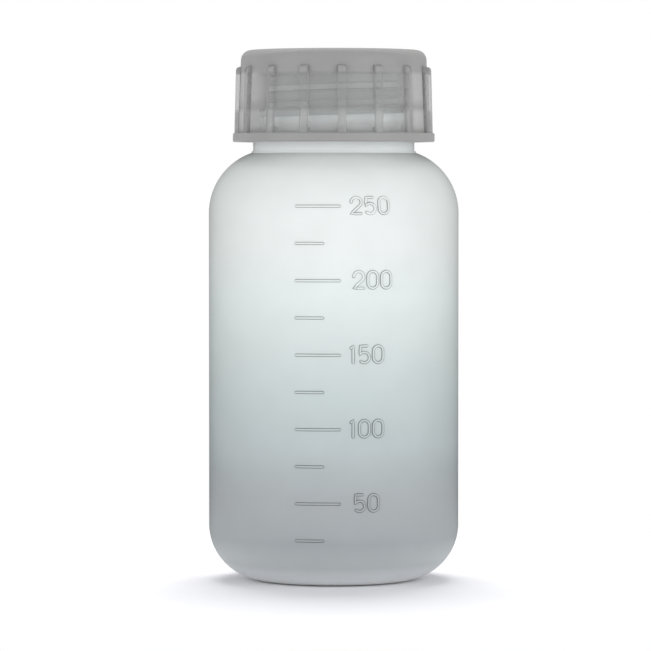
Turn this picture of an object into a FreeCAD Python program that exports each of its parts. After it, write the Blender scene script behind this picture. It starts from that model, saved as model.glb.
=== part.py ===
import FreeCAD, Part
import Sketcher
import math
import os

# Graduated wide-mouth laboratory bottle: blow-moulded bottle, screw cap and sealing disc.
# Frame: millimetres, +Z up, origin at the centre of the standing ring, graduations face -Y.

FRONT_ANGLE = -90.0

BOTTLE_SIZES = {
    "body_diameter": 61.5,
    "body_wall": 1.1,
    "base_wall": 1.5,
    "heel_radius": 13.6,
    "standing_ring_width": 2.6,
    "base_dish_depth": 1.8,
    "shoulder_level": 90.3,
    "shoulder_radius": 15.7,
    "neck_diameter": 39.7,
    "neck_wall": 1.6,
    "neck_height": 22.0,
    "neck_step": 0.35,
    "neck_step_height": 0.4,
    "rim_chamfer": 0.35,
    "pinch_length": 19.0,
    "pinch_width": 0.9,
    "pinch_height": 0.5,
}

THREAD_SIZES = {
    "thread_pitch": 4.0,
    "thread_turns": 2.25,
    "thread_depth": 1.25,
    "thread_root_width": 2.2,
    "thread_crest_width": 1.2,
    "thread_lead_in": 2.4,
    "thread_clearance": 0.35,
    "cap_thread_turns": 2.25,
    "cap_thread_root_width": 1.9,
    "cap_thread_crest_width": 1.0,
    "thread_root_overlap": 0.4,
    "run_out_angle": 30.0,
    "run_out_end_height": 0.05,
}

GRADUATION_SIZES = {
    "mark_width": 0.8,
    "mark_crest_width": 0.5,
    "mark_proud": 0.3,
    "mark_start_angle": 17.9,
    "long_mark_angle": 21.1,
    "short_mark_angle": 13.6,
    "first_mark_level": 12.0,
    "mark_pitch": 8.92,
    "scale_reach_on_shoulder": 3.0,
}

CAP_SIZES = {
    "cap_gap": 2.25,
    "cap_wall": 1.3,
    "cap_top_thickness": 1.8,
    "cap_draft": 2.2,
    "cap_edge_round": 2.5,
    "flange_height": 2.2,
    "flange_reach": 1.3,
    "flange_chamfer": 0.25,
    "rib_count": 16,
    "rib_offset_angle": 4.7,
    "rib_width": 2.1,
    "rib_reach": 0.95,
    "rib_draft": 1.45,
    "rib_top_gap": 4.1,
    "rib_top_round": 0.9,
    "rib_edge_chamfer": 0.35,
}

DISC_SIZES = {
    "disc_thickness": 1.0,
    "disc_clearance": 0.3,
    "disc_chamfer": 0.2,
}

# Bottle: sizes that several features share, as expressions of the sheet's cells
BODY_R = "dims.body_diameter / 2"
INNER_R = f"({BODY_R} - dims.body_wall)"
RING_OUTER_R = f"({BODY_R} - dims.heel_radius)"
RING_INNER_R = f"({RING_OUTER_R} - dims.standing_ring_width)"
DISH_RADIUS = f"(({RING_INNER_R} ^ 2 + dims.base_dish_depth ^ 2) / (2 * dims.base_dish_depth))"
FLOOR_DISH_RADIUS = f"({DISH_RADIUS} + dims.base_wall)"
FLOOR_RING_R = f"sqrt({FLOOR_DISH_RADIUS} ^ 2 - ({FLOOR_DISH_RADIUS} - dims.base_dish_depth) ^ 2)"
FLOOR_HEEL_RADIUS = "(dims.heel_radius - dims.base_wall)"
NECK_R = "dims.neck_diameter / 2"
BORE_R = f"({NECK_R} - dims.neck_wall)"
STEP_R = f"({NECK_R} + dims.neck_step)"
SHOULDER_CENTRE_R = f"({BODY_R} - dims.shoulder_radius)"
INNER_SHOULDER_RADIUS = "(dims.shoulder_radius - dims.body_wall)"
SHOULDER_RISE = f"sqrt(dims.shoulder_radius ^ 2 - ({STEP_R} - {SHOULDER_CENTRE_R}) ^ 2)"
INNER_RISE = f"sqrt({INNER_SHOULDER_RADIUS} ^ 2 - ({BORE_R} - {SHOULDER_CENTRE_R}) ^ 2)"
SHOULDER_TOP = f"(dims.shoulder_level + {SHOULDER_RISE})"
STEP_TOP = f"({SHOULDER_TOP} + dims.neck_step_height)"
MOUTH = f"({STEP_TOP} + dims.neck_height)"

# Threads: the cap's ridge runs half a pitch below the bottle's, with clearance all round
CREST_R = f"({NECK_R} + dims.thread_depth)"
CAP_CREST_R = f"({NECK_R} + dims.thread_clearance)"
THREAD_START = f"({MOUTH} - dims.thread_lead_in - dims.thread_turns * dims.thread_pitch)"
CAP_THREAD_START = f"({THREAD_START} - dims.thread_pitch / 2)"
RUN_OUT_TURNS = "dims.run_out_angle / 360"
RUN_OUT_RISE = f"(dims.thread_pitch * {RUN_OUT_TURNS})"

# Cap: its bore and height come from the bottle's thread, mouth and shoulder
CEILING = f"({MOUTH} + dims.disc_thickness)"
CAP_TOP = f"({CEILING} + dims.cap_top_thickness)"
CAP_BOTTOM = f"({STEP_TOP} + dims.cap_gap)"
FLANGE_TOP = f"({CAP_BOTTOM} + dims.flange_height)"
CAP_SLOPE = "tan(dims.cap_draft * 1 deg)"
CAP_BORE_TOP_R = f"({CREST_R} + dims.thread_clearance)"
CAP_BORE_FOOT_R = f"({CAP_BORE_TOP_R} + ({CEILING} - {CAP_BOTTOM}) * {CAP_SLOPE})"
CORE_TOP_R = f"({CAP_BORE_TOP_R} + dims.cap_wall)"
CORE_FOOT_R = f"({CORE_TOP_R} + ({CAP_TOP} - {FLANGE_TOP}) * {CAP_SLOPE})"
FLANGE_R = f"({CORE_FOOT_R} + dims.flange_reach)"
RIB_ROOT_R = f"({CORE_TOP_R} - dims.cap_wall / 2)"
RIB_FOOT_R = f"({CORE_FOOT_R} + dims.rib_reach)"
RIB_FOOT = f"({FLANGE_TOP} - dims.flange_height / 2)"
RIB_TOP = f"({CAP_TOP} - dims.rib_top_gap)"
RIB_TOP_R = f"({RIB_FOOT_R} - ({RIB_TOP} - {RIB_FOOT}) * tan(dims.rib_draft * 1 deg))"

doc = FreeCAD.newDocument("graduated_bottle")
sheet = doc.addObject("Spreadsheet::Sheet", "dims")


def fill_sheet(groups):
    """Write each driving dimension in a row of its own: its name in column A, its value in B."""
    row = 1
    for group in groups:
        for alias, size in group.items():
            sheet.set(f"A{row}", alias)
            sheet.set(f"B{row}", str(size))
            sheet.setAlias(f"B{row}", alias)
            row += 1
    doc.recompute()


def value(expression):
    """Give the number that an expression of the sheet's cells stands for."""
    return float(sheet.evalExpression(expression))


def new_body(label):
    """Start a piece. Its label names its file."""
    body = doc.addObject("PartDesign::Body", label)
    body.Label = label
    return body


def new_sketch(body, name, role, turn="0", lift="0"):
    """Put a sketch on one of the body's origin planes, turned about Z and lifted along it."""
    sketch = body.newObject("Sketcher::SketchObject", name)
    plane = next(f for f in body.Origin.OriginFeatures if f.Role == role)
    sketch.AttachmentSupport = [(plane, "")]
    sketch.MapMode = "FlatFace"
    upright = FreeCAD.Vector(0, 1, 0) if role == "XZ_Plane" else FreeCAD.Vector(0, 0, 1)
    turned = FreeCAD.Rotation(upright, value(turn))
    sketch.AttachmentOffset = FreeCAD.Placement(FreeCAD.Vector(0, 0, value(lift)), turned)
    if turn != "0":
        sketch.setExpression("AttachmentOffset.Rotation.Angle", turn)
    if lift != "0":
        sketch.setExpression("AttachmentOffset.Base.z", lift)
    return sketch


def pin_point(sketch, curve, end, corner):
    """Hold one end of a curve at a corner given by two expressions, across and up."""
    across, up = corner
    for kind, axis_line, expression in (("DistanceX", -2, across), ("DistanceY", -1, up)):
        if expression == "0":
            sketch.addConstraint(Sketcher.Constraint("PointOnObject", curve, end, axis_line))
        else:
            place = value(expression)
            index = sketch.addConstraint(Sketcher.Constraint(kind, -1, 1, curve, end, place))
            sketch.setExpression(f"Constraints[{index}]", expression)


def arc_between(start, end, radius, left):
    """Give the arc from start to end whose centre lies to the left or right of that way."""
    chord = end - start
    half = chord.Length / 2
    aside = FreeCAD.Vector(-chord.y, chord.x, 0).normalize()
    if not left:
        aside = -aside
    centre = (start + end) / 2 + aside * math.sqrt(max(radius ** 2 - half ** 2, 0))
    first = math.atan2(start.y - centre.y, start.x - centre.x)
    last = math.atan2(end.y - centre.y, end.x - centre.x)
    if not left:
        first, last = last, first
    circle = Part.Circle(centre, FreeCAD.Vector(0, 0, 1), radius)
    return Part.ArcOfCircle(circle, first, last)


def draw_profile(sketch, corners, arcs=None):
    """Draw a closed outline through the corners, straight but for the sides named in arcs.

    Each corner is two expressions. arcs gives, for a side's number, the radius as an
    expression and whether the centre lies to the left of the way round.
    """
    arcs = arcs or {}
    places = [FreeCAD.Vector(value(across), value(up), 0) for across, up in corners]
    ends = []
    for side, start in enumerate(places):
        end = places[(side + 1) % len(places)]
        if side in arcs:
            radius, left = arcs[side]
            curve = sketch.addGeometry(arc_between(start, end, value(radius), left))
            ends.append((curve, 1, 2) if left else (curve, 2, 1))
        else:
            curve = sketch.addGeometry(Part.LineSegment(start, end))
            ends.append((curve, 1, 2))
    for side, (curve, first, last) in enumerate(ends):
        follower, start, _ = ends[(side + 1) % len(ends)]
        sketch.addConstraint(Sketcher.Constraint("Coincident", curve, last, follower, start))
        pin_point(sketch, curve, first, corners[side])
    for side, (radius, _) in arcs.items():
        curve = ends[side][0]
        index = sketch.addConstraint(Sketcher.Constraint("Radius", curve, value(radius)))
        sketch.setExpression(f"Constraints[{index}]", radius)


def turn_profile(body, kind, name, sketch, degrees="360"):
    """Revolve or groove a sketch about the body's axis, which is the sketch's vertical."""
    feature = body.newObject(f"PartDesign::{kind}", name)
    feature.Profile = sketch
    feature.ReferenceAxis = (sketch, ["V_Axis"])
    feature.setExpression("Angle", degrees)
    doc.recompute()
    return feature


def dress_edges(body, kind, name, base, edges, size):
    """Fillet or chamfer the named edges of the last feature by a size from the sheet."""
    dress = body.newObject(f"PartDesign::{kind}", name)
    dress.Base = (base, edges)
    dress.setExpression("Radius" if kind == "Fillet" else "Size", size)
    doc.recompute()
    return dress


def ring_edges(feature, radius, level):
    """Name the full circles about the axis at a radius and a level."""
    names = []
    for number, edge in enumerate(feature.Shape.Edges, start=1):
        box = edge.BoundBox
        level_gap = max(abs(box.ZMin - value(level)), abs(box.ZMax - value(level)))
        radius_gap = max(abs(box.XMax - value(radius)), abs(box.YMax - value(radius)))
        if level_gap < 0.01 and radius_gap < 0.01:
            names.append(f"Edge{number}")
    return names


def wind_helix(body, kind, name, sketch, turns, cone="0", downward=False):
    """Sweep a section along a right-hand helix, which may widen or narrow as a cone."""
    helix = body.newObject(f"PartDesign::{kind}", name)
    helix.Profile = sketch
    helix.ReferenceAxis = (sketch, ["V_Axis"])
    helix.Mode = "pitch-turns-angle"
    helix.LeftHanded = False
    helix.Reversed = downward
    helix.setExpression("Pitch", "dims.thread_pitch")
    helix.setExpression("Turns", turns)
    helix.setExpression("Angle", cone)
    doc.recompute()


def cut_thread(body, name, wall, crest, widths, start, turns):
    """Add a helical ridge and let both its ends run out into the wall that carries it.

    wall and crest are radii, widths the ridge's widths at the two. The ridge starts on the
    -X side at the level start. crest may lie outside the wall or, in a bore, inside it.
    """
    outward = value(crest) > value(wall)
    sign = "-" if outward else "+"
    root = f"({wall} {sign} dims.thread_root_overlap)"
    wall_width, crest_width = widths
    ridge = new_sketch(body, f"{name}_section", "XZ_Plane")
    draw_profile(
        ridge,
        [
            (f"-{root}", f"{start} - {wall_width} / 2"),
            (f"-{root}", f"{start} + {wall_width} / 2"),
            (f"-{crest}", f"{start} + {crest_width} / 2"),
            (f"-{crest}", f"{start} - {crest_width} / 2"),
        ],
    )
    wind_helix(body, "AdditiveHelix", name, ridge, turns)

    fall = f"(abs({crest} - {wall}) - dims.run_out_end_height)"
    cone = f"{sign}atan({fall} / {RUN_OUT_RISE})"
    clear = f"({crest} {'+' if outward else '-'} 2 * dims.thread_depth)"
    for end, along, downward in (
        ("lower", RUN_OUT_TURNS, True),
        ("upper", f"({turns} - {RUN_OUT_TURNS})", False),
    ):
        level = f"({start} + {along} * dims.thread_pitch)"
        shaving = new_sketch(body, f"{name}_{end}_shaving", "XZ_Plane", turn=f"{along} * 360")
        draw_profile(
            shaving,
            [
                (f"-{crest}", f"{level} - {wall_width} / 2"),
                (f"-{crest}", f"{level} + {wall_width} / 2"),
                (f"-{clear}", f"{level} + {wall_width} / 2"),
                (f"-{clear}", f"{level} - {wall_width} / 2"),
            ],
        )
        run_out = f"{name}_{end}_run_out"
        wind_helix(body, "SubtractiveHelix", run_out, shaving, RUN_OUT_TURNS, cone, downward)


def make_bottle():
    """The bottle: one blow-moulded wall, with its thread, marks and pinch-off."""
    body = new_body("bottle")

    outside = new_sketch(body, "outside_profile", "XZ_Plane")
    draw_profile(
        outside,
        [
            ("0", "dims.base_dish_depth"),
            (RING_INNER_R, "0"),
            (RING_OUTER_R, "0"),
            (BODY_R, "dims.heel_radius"),
            (BODY_R, "dims.shoulder_level"),
            (STEP_R, SHOULDER_TOP),
            (STEP_R, STEP_TOP),
            (NECK_R, STEP_TOP),
            (NECK_R, MOUTH),
            ("0", MOUTH),
        ],
        {
            0: (DISH_RADIUS, False),
            2: ("dims.heel_radius", True),
            4: ("dims.shoulder_radius", True),
        },
    )
    turn_profile(body, "Revolution", "outside", outside)

    inside = new_sketch(body, "inside_profile", "XZ_Plane")
    draw_profile(
        inside,
        [
            ("0", "dims.base_dish_depth + dims.base_wall"),
            (FLOOR_RING_R, "dims.base_wall"),
            (f"{INNER_R} - {FLOOR_HEEL_RADIUS}", "dims.base_wall"),
            (INNER_R, f"dims.base_wall + {FLOOR_HEEL_RADIUS}"),
            (INNER_R, "dims.shoulder_level"),
            (BORE_R, f"dims.shoulder_level + {INNER_RISE}"),
            (BORE_R, MOUTH),
            ("0", MOUTH),
        ],
        {
            0: (FLOOR_DISH_RADIUS, False),
            2: (FLOOR_HEEL_RADIUS, True),
            4: (INNER_SHOULDER_RADIUS, True),
        },
    )
    hollow = turn_profile(body, "Groove", "inside", inside)

    rims = ring_edges(hollow, NECK_R, MOUTH) + ring_edges(hollow, BORE_R, MOUTH)
    dress_edges(body, "Chamfer", "mouth_rim", hollow, rims, "dims.rim_chamfer")

    widths = ("dims.thread_root_width", "dims.thread_crest_width")
    cut_thread(body, "neck_thread", NECK_R, CREST_R, widths, THREAD_START, "dims.thread_turns")

    second_level = "(dims.first_mark_level + dims.mark_pitch)"
    add_marks(body, "long_mark", second_level, "dims.long_mark_angle")
    add_marks(body, "short_mark", "dims.first_mark_level", "dims.short_mark_angle")
    add_pinch_off(body)
    return body


def add_marks(body, name, level, sweep):
    """Raised marks that follow the wall, one at every second step up to the scale's end."""
    start_turn = f"{FRONT_ANGLE} - dims.mark_start_angle"
    section = new_sketch(body, f"{name}_section", "XZ_Plane", turn=start_turn)
    sunk_r = f"({BODY_R} - dims.body_wall / 2)"
    proud_r = f"({BODY_R} + dims.mark_proud)"
    draw_profile(
        section,
        [
            (sunk_r, f"{level} - dims.mark_width / 2"),
            (proud_r, f"{level} - dims.mark_crest_width / 2"),
            (proud_r, f"{level} + dims.mark_crest_width / 2"),
            (sunk_r, f"{level} + dims.mark_width / 2"),
        ],
    )
    mark = turn_profile(body, "Revolution", name, section, sweep)
    row = body.newObject("PartDesign::LinearPattern", f"{name}_row")
    row.Originals = [mark]
    row.Direction = (section, ["V_Axis"])
    row.Mode = "Spacing"
    scale_end = "(dims.shoulder_level + dims.scale_reach_on_shoulder)"
    row.setExpression("Offset", "2 * dims.mark_pitch")
    row.setExpression("Occurrences", f"floor(({scale_end} - {level}) / (2 * dims.mark_pitch)) + 1")
    body.Tip = row
    doc.recompute()


def add_pinch_off(body):
    """The welded seam that a blow mould leaves across the hollow of the base."""
    foot = "(dims.base_dish_depth - dims.pinch_height)"
    seam = new_sketch(body, "pinch_off_outline", "XY_Plane", lift=foot)
    half_length = "dims.pinch_length / 2"
    half_width = "dims.pinch_width / 2"
    draw_profile(
        seam,
        [
            (f"-{half_length}", f"-{half_width}"),
            (half_length, f"-{half_width}"),
            (half_length, half_width),
            (f"-{half_length}", half_width),
        ],
    )
    pad = body.newObject("PartDesign::Pad", "pinch_off")
    pad.Profile = seam
    pad.setExpression("Length", "dims.pinch_height + dims.base_wall / 2")
    doc.recompute()


def make_cap():
    """The screw cap: a drafted shell with a flange, grip ribs and an inner thread."""
    body = new_body("screw_cap")

    outside = new_sketch(body, "cap_outside_profile", "XZ_Plane")
    draw_profile(
        outside,
        [
            ("0", CAP_BOTTOM),
            (FLANGE_R, CAP_BOTTOM),
            (FLANGE_R, FLANGE_TOP),
            (CORE_FOOT_R, FLANGE_TOP),
            (CORE_TOP_R, CAP_TOP),
            ("0", CAP_TOP),
        ],
    )
    shell = turn_profile(body, "Revolution", "cap_outside", outside)
    edge = ring_edges(shell, CORE_TOP_R, CAP_TOP)
    shell = dress_edges(body, "Fillet", "cap_edge", shell, edge, "dims.cap_edge_round")
    edges = ring_edges(shell, FLANGE_R, FLANGE_TOP) + ring_edges(shell, FLANGE_R, CAP_BOTTOM)
    dress_edges(body, "Chamfer", "flange_edge", shell, edges, "dims.flange_chamfer")

    add_ribs(body)

    inside = new_sketch(body, "cap_inside_profile", "XZ_Plane")
    draw_profile(
        inside,
        [
            ("0", CAP_BOTTOM),
            (CAP_BORE_FOOT_R, CAP_BOTTOM),
            (CAP_BORE_TOP_R, CEILING),
            ("0", CEILING),
        ],
    )
    turn_profile(body, "Groove", "cap_inside", inside)

    wall = f"({CAP_BORE_TOP_R} + ({CEILING} - {CAP_THREAD_START}) * {CAP_SLOPE})"
    widths = ("dims.cap_thread_root_width", "dims.cap_thread_crest_width")
    cut_thread(
        body, "cap_thread", wall, CAP_CREST_R, widths, CAP_THREAD_START, "dims.cap_thread_turns"
    )
    return body


def add_ribs(body):
    """Sixteen grip ribs, each lofted from the flange to its rounded top, with bevelled edges."""
    turn = f"{FRONT_ANGLE} + dims.rib_offset_angle"
    sections = [rib_section(body, "rib_foot", turn, RIB_FOOT, RIB_FOOT_R)]
    for step, bend in enumerate((0, 45, 90)):
        level = f"({RIB_TOP} - dims.rib_top_round * (1 - sin({bend} deg)))"
        reach = f"({RIB_TOP_R} - dims.rib_top_round * (1 - cos({bend} deg)))"
        sections.append(rib_section(body, f"rib_head_{step}", turn, level, reach))
    rib = body.newObject("PartDesign::AdditiveLoft", "rib")
    rib.Profile = sections[0]
    rib.Sections = sections[1:]
    rib.Ruled = True
    doc.recompute()

    ribs = body.newObject("PartDesign::PolarPattern", "ribs")
    ribs.Originals = [rib]
    ribs.Axis = (sections[0], ["N_Axis"])
    ribs.setExpression("Occurrences", "dims.rib_count")
    body.Tip = ribs
    doc.recompute()


def rib_section(body, name, turn, level, reach):
    """One level cut through a rib: a bar from inside the wall out to reach, corners bevelled."""
    sketch = new_sketch(body, name, "XY_Plane", turn=turn, lift=level)
    half = "dims.rib_width / 2"
    bevelled = f"({half} - dims.rib_edge_chamfer)"
    draw_profile(
        sketch,
        [
            (RIB_ROOT_R, f"-{half}"),
            (f"{reach} - dims.rib_edge_chamfer", f"-{half}"),
            (reach, f"-{bevelled}"),
            (reach, bevelled),
            (f"{reach} - dims.rib_edge_chamfer", half),
            (RIB_ROOT_R, half),
        ],
    )
    return sketch


def make_disc():
    """The sealing disc that lies under the cap's top and closes the mouth."""
    body = new_body("sealing_disc")
    outline = new_sketch(body, "disc_profile", "XZ_Plane")
    disc_r = f"({CAP_BORE_TOP_R} - dims.disc_clearance)"
    draw_profile(outline, [("0", MOUTH), (disc_r, MOUTH), (disc_r, CEILING), ("0", CEILING)])
    plate = turn_profile(body, "Revolution", "disc_plate", outline)
    edges = ring_edges(plate, disc_r, MOUTH) + ring_edges(plate, disc_r, CEILING)
    dress_edges(body, "Chamfer", "disc_edge", plate, edges, "dims.disc_chamfer")
    return body


def check_document(bodies):
    """Stop with a plain message if a feature failed or a piece's shape isn't sound."""
    for thing in doc.Objects:
        if "Invalid" in thing.State or "Error" in thing.State:
            raise RuntimeError(f"{thing.Name} failed: {thing.State}")
    for body in bodies:
        shape = body.Shape
        if shape.isNull() or not shape.isValid() or len(shape.Solids) != 1:
            raise RuntimeError(f"{body.Label} is not one sound solid")
    cuts = [f for f in doc.Objects if f.TypeId in ("PartDesign::Groove", "PartDesign::SubtractiveHelix")]
    for cut in cuts:
        if not cut.Shape.Volume < cut.BaseFeature.Shape.Volume:
            raise RuntimeError(f"{cut.Name} removed nothing")


fill_sheet([BOTTLE_SIZES, THREAD_SIZES, GRADUATION_SIZES, CAP_SIZES, DISC_SIZES])
pieces = [make_bottle(), make_cap(), make_disc()]
doc.recompute()
check_document(pieces)

os.makedirs("parts", exist_ok=True)
for piece in pieces:
    piece.Shape.exportStep(os.path.join("parts", f"{piece.Label}.step"))
    box = piece.Shape.BoundBox
    print(f"{piece.Label}: {piece.Shape.Volume / 1000:.2f} ml, z {box.ZMin:.2f} to {box.ZMax:.2f}")
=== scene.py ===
"""Graduated wide-mouth bottle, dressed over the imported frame.

A blow-moulded bottle in milky natural polypropylene, its raised volume scale, and a ribbed
screw cap whose wall lets the neck and its thread show through. Sizes are in millimetres
until a point is placed; the finished meshes are in metres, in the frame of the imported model.
"""

import logging
import math
from contextlib import contextmanager
from dataclasses import dataclass
from enum import Enum
from typing import Any, Callable, Iterator

import bpy
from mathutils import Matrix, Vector


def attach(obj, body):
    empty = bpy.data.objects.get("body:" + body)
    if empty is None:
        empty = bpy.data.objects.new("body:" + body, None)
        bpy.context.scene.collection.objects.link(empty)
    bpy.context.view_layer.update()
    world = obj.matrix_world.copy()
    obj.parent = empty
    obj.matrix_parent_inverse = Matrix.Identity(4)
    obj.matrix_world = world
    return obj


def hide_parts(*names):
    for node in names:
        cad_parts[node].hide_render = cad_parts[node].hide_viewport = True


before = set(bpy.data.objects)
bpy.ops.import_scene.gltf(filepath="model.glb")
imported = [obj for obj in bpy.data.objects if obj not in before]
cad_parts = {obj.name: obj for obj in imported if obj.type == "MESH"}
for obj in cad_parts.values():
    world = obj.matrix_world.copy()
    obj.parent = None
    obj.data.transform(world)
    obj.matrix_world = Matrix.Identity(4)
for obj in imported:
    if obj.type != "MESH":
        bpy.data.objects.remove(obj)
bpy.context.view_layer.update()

logging.basicConfig(level=logging.INFO, format="%(levelname)s %(message)s")
log = logging.getLogger("bottle")

Colour = tuple[float, float, float, float]  # linear red, green, blue and alpha

MM = 0.001
WELD = 0.001 * MM  # points closer than this are one point
SAME = 0.01 * MM  # places that differ by less count as level with each other
FRONT = math.radians(-90.0)  # the direction of the volume scale, seen from above
NOISE_SPAN = (0.3, 0.7)  # nearly all values of a noise lie between these


# Modelling helpers


def start_fresh() -> None:
    """Leave edit mode and deselect everything."""
    if bpy.context.object and bpy.context.object.mode != "OBJECT":
        bpy.ops.object.mode_set(mode="OBJECT")
    bpy.ops.object.select_all(action="DESELECT")


def take_only(*pieces: bpy.types.Object) -> None:
    """Select these objects and nothing else, the first one active.

    Args:
        pieces: the objects to work on.
    """
    start_fresh()
    for piece in pieces:
        piece.select_set(True)
    bpy.context.view_layer.objects.active = pieces[0]


@contextmanager
def editing(piece: bpy.types.Object) -> Iterator[bpy.types.Mesh]:
    """Open one piece in edit mode with nothing selected, and close it again.

    Args:
        piece: the mesh object to edit.

    Yields:
        Its mesh.
    """
    take_only(piece)
    bpy.ops.object.mode_set(mode="EDIT")
    bpy.ops.mesh.select_all(action="DESELECT")
    yield piece.data
    bpy.ops.object.mode_set(mode="OBJECT")


def bevel_edges(
    piece: bpy.types.Object, wanted: Callable[[Vector, Vector], bool], size: float, strips: int
) -> None:
    """Bevel the edges that a test picks out by their two ends.

    Args:
        piece: the object.
        wanted: takes the places of an edge's two ends and says whether it is bevelled.
        size: width of the bevel in millimetres.
        strips: how many strips it has.
    """
    with editing(piece) as mesh:
        bpy.ops.mesh.select_mode(type="EDGE")
        bpy.ops.object.mode_set(mode="OBJECT")
        for edge in mesh.edges:
            start, end = (mesh.vertices[corner].co for corner in edge.vertices)
            edge.select = wanted(start, end)
        bpy.ops.object.mode_set(mode="EDIT")
        bpy.ops.mesh.bevel(offset=size * MM, segments=strips)
        bpy.ops.mesh.select_mode(type="VERT")


def face_outwards(piece: bpy.types.Object) -> None:
    """Weld a closed form's seams and turn its faces outwards.

    Args:
        piece: the object.
    """
    with editing(piece):
        bpy.ops.mesh.select_all(action="SELECT")
        bpy.ops.mesh.remove_doubles(threshold=WELD)
        bpy.ops.mesh.normals_make_consistent(inside=False)


def apply_modifier(piece: bpy.types.Object, kind: str, **settings: Any) -> None:
    """Add one modifier to a piece and apply it.

    Args:
        piece: the object that gets it.
        kind: Blender's name for the modifier.
        settings: its properties.
    """
    take_only(piece)
    modifier = piece.modifiers.new(kind.title(), kind)
    for name, setting in settings.items():
        setattr(modifier, name, setting)
    bpy.ops.object.modifier_apply(modifier=modifier.name)


def fuse(piece: bpy.types.Object, *others: bpy.types.Object) -> None:
    """Unite other closed pieces with one piece, as they leave one mould together.

    Args:
        piece: the piece that grows.
        others: the pieces that go into it. They are removed.
    """
    for other in others:
        apply_modifier(
            piece, "BOOLEAN", operation="UNION", solver="EXACT", object=other, material_mode="TRANSFER"
        )
        bpy.data.objects.remove(other)


def copy_of(piece: bpy.types.Object) -> bpy.types.Object:
    """Copy a piece with a mesh of its own.

    Args:
        piece: the object to copy.

    Returns:
        The copy, which is selected.
    """
    take_only(piece)
    bpy.ops.object.duplicate(linked=False)
    return bpy.context.object


def join(pieces: list[bpy.types.Object]) -> bpy.types.Object:
    """Make one object of several.

    Args:
        pieces: the objects, of which the first stays.

    Returns:
        The joined object.
    """
    take_only(*pieces)
    bpy.ops.object.join()
    return pieces[0]


def settle(piece: bpy.types.Object) -> None:
    """Put a piece's place, turn and scale into its mesh."""
    take_only(piece)
    bpy.ops.object.transform_apply(location=True, rotation=True, scale=True)


def dress(piece: bpy.types.Object, *materials: bpy.types.Material) -> None:
    """Give a piece these materials and no others, the first one on every face.

    Args:
        piece: the object.
        materials: what it is made of.
    """
    piece.data.materials.clear()
    for material in materials:
        piece.data.materials.append(material)


def shade_flanks(relief: bpy.types.Object, steepness: float) -> None:
    """Give the steep sides of forms that stand out along the radius the second material, a darker copy:
    painted shade on the flanks.

    Args:
        relief: the raised forms.
        steepness: cosine of the angle to the radius from which a face counts as a side.
    """
    for face in relief.data.polygons:
        outward = face.center.copy()
        outward.z = 0.0
        face.material_index = int(face.normal.dot(outward.normalized()) < steepness)


def smooth(piece: bpy.types.Object, degrees: float = 35.0) -> None:
    """Shade a piece smoothly, but for edges sharper than an angle."""
    take_only(piece)
    bpy.ops.object.shade_smooth_by_angle(angle=math.radians(degrees))


class Outline:
    """A line in the upright XZ plane, drawn by extruding and spinning its last point.

    The plane is seen from the front, with X to the right and Z up. Sizes are in millimetres.
    """

    def __init__(self, name: str, x: float, z: float) -> None:
        """Set the first point.

        Args:
            name: the name of the new object.
            x: its place across.
            z: its height.
        """
        start_fresh()
        bpy.ops.mesh.primitive_plane_add(size=MM, location=(x * MM, 0.0, z * MM))
        self.piece: bpy.types.Object = bpy.context.object
        self.piece.name = name
        settle(self.piece)
        bpy.ops.object.mode_set(mode="EDIT")
        bpy.ops.mesh.select_all(action="SELECT")
        bpy.ops.mesh.merge(type="CENTER")
        self.x, self.z = x, z

    def line_to(self, x: float, z: float, pieces: int = 1) -> "Outline":
        """Draw a straight run to a point.

        Args:
            x: the point's place across.
            z: its height.
            pieces: how many equal edges the run has.

        Returns:
            This outline, so that runs can follow each other.
        """
        step = ((x - self.x) / pieces * MM, 0.0, (z - self.z) / pieces * MM)
        for _ in range(pieces):
            bpy.ops.mesh.extrude_region_move(TRANSFORM_OT_translate={"value": step})
        self.x, self.z = x, z
        return self

    def arc_about(self, x: float, z: float, degrees: float, steps: int) -> "Outline":
        """Draw an arc round a centre.

        Args:
            x: the centre's place across.
            z: its height.
            degrees: how far to go, anticlockwise where positive.
            steps: how many edges the arc has.

        Returns:
            This outline.
        """
        turn = math.radians(degrees)
        bpy.ops.mesh.spin(steps=steps, angle=turn, center=(x * MM, 0.0, z * MM), axis=(0.0, 1.0, 0.0))
        across, up = self.x - x, self.z - z
        self.x = x + across * math.cos(turn) - up * math.sin(turn)
        self.z = z + across * math.sin(turn) + up * math.cos(turn)
        return self

    def done(self, close: bool = False) -> bpy.types.Object:
        """Leave edit mode.

        Args:
            close: whether the last point joins the first.

        Returns:
            The object that holds the line.
        """
        if close:
            bpy.ops.mesh.select_all(action="SELECT")
            bpy.ops.mesh.remove_doubles(threshold=WELD)
        bpy.ops.object.mode_set(mode="OBJECT")
        return self.piece

    def turned(self, steps: int) -> bpy.types.Object:
        """Spin the line round the Z axis into a closed form, with its faces outwards.

        Args:
            steps: how many strips the form has round it.

        Returns:
            The turned object.
        """
        bpy.ops.mesh.select_all(action="SELECT")
        bpy.ops.mesh.spin(steps=steps, angle=2.0 * math.pi, center=(0.0, 0.0, 0.0), axis=(0.0, 0.0, 1.0))
        face_outwards(self.piece)
        return self.piece


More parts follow.
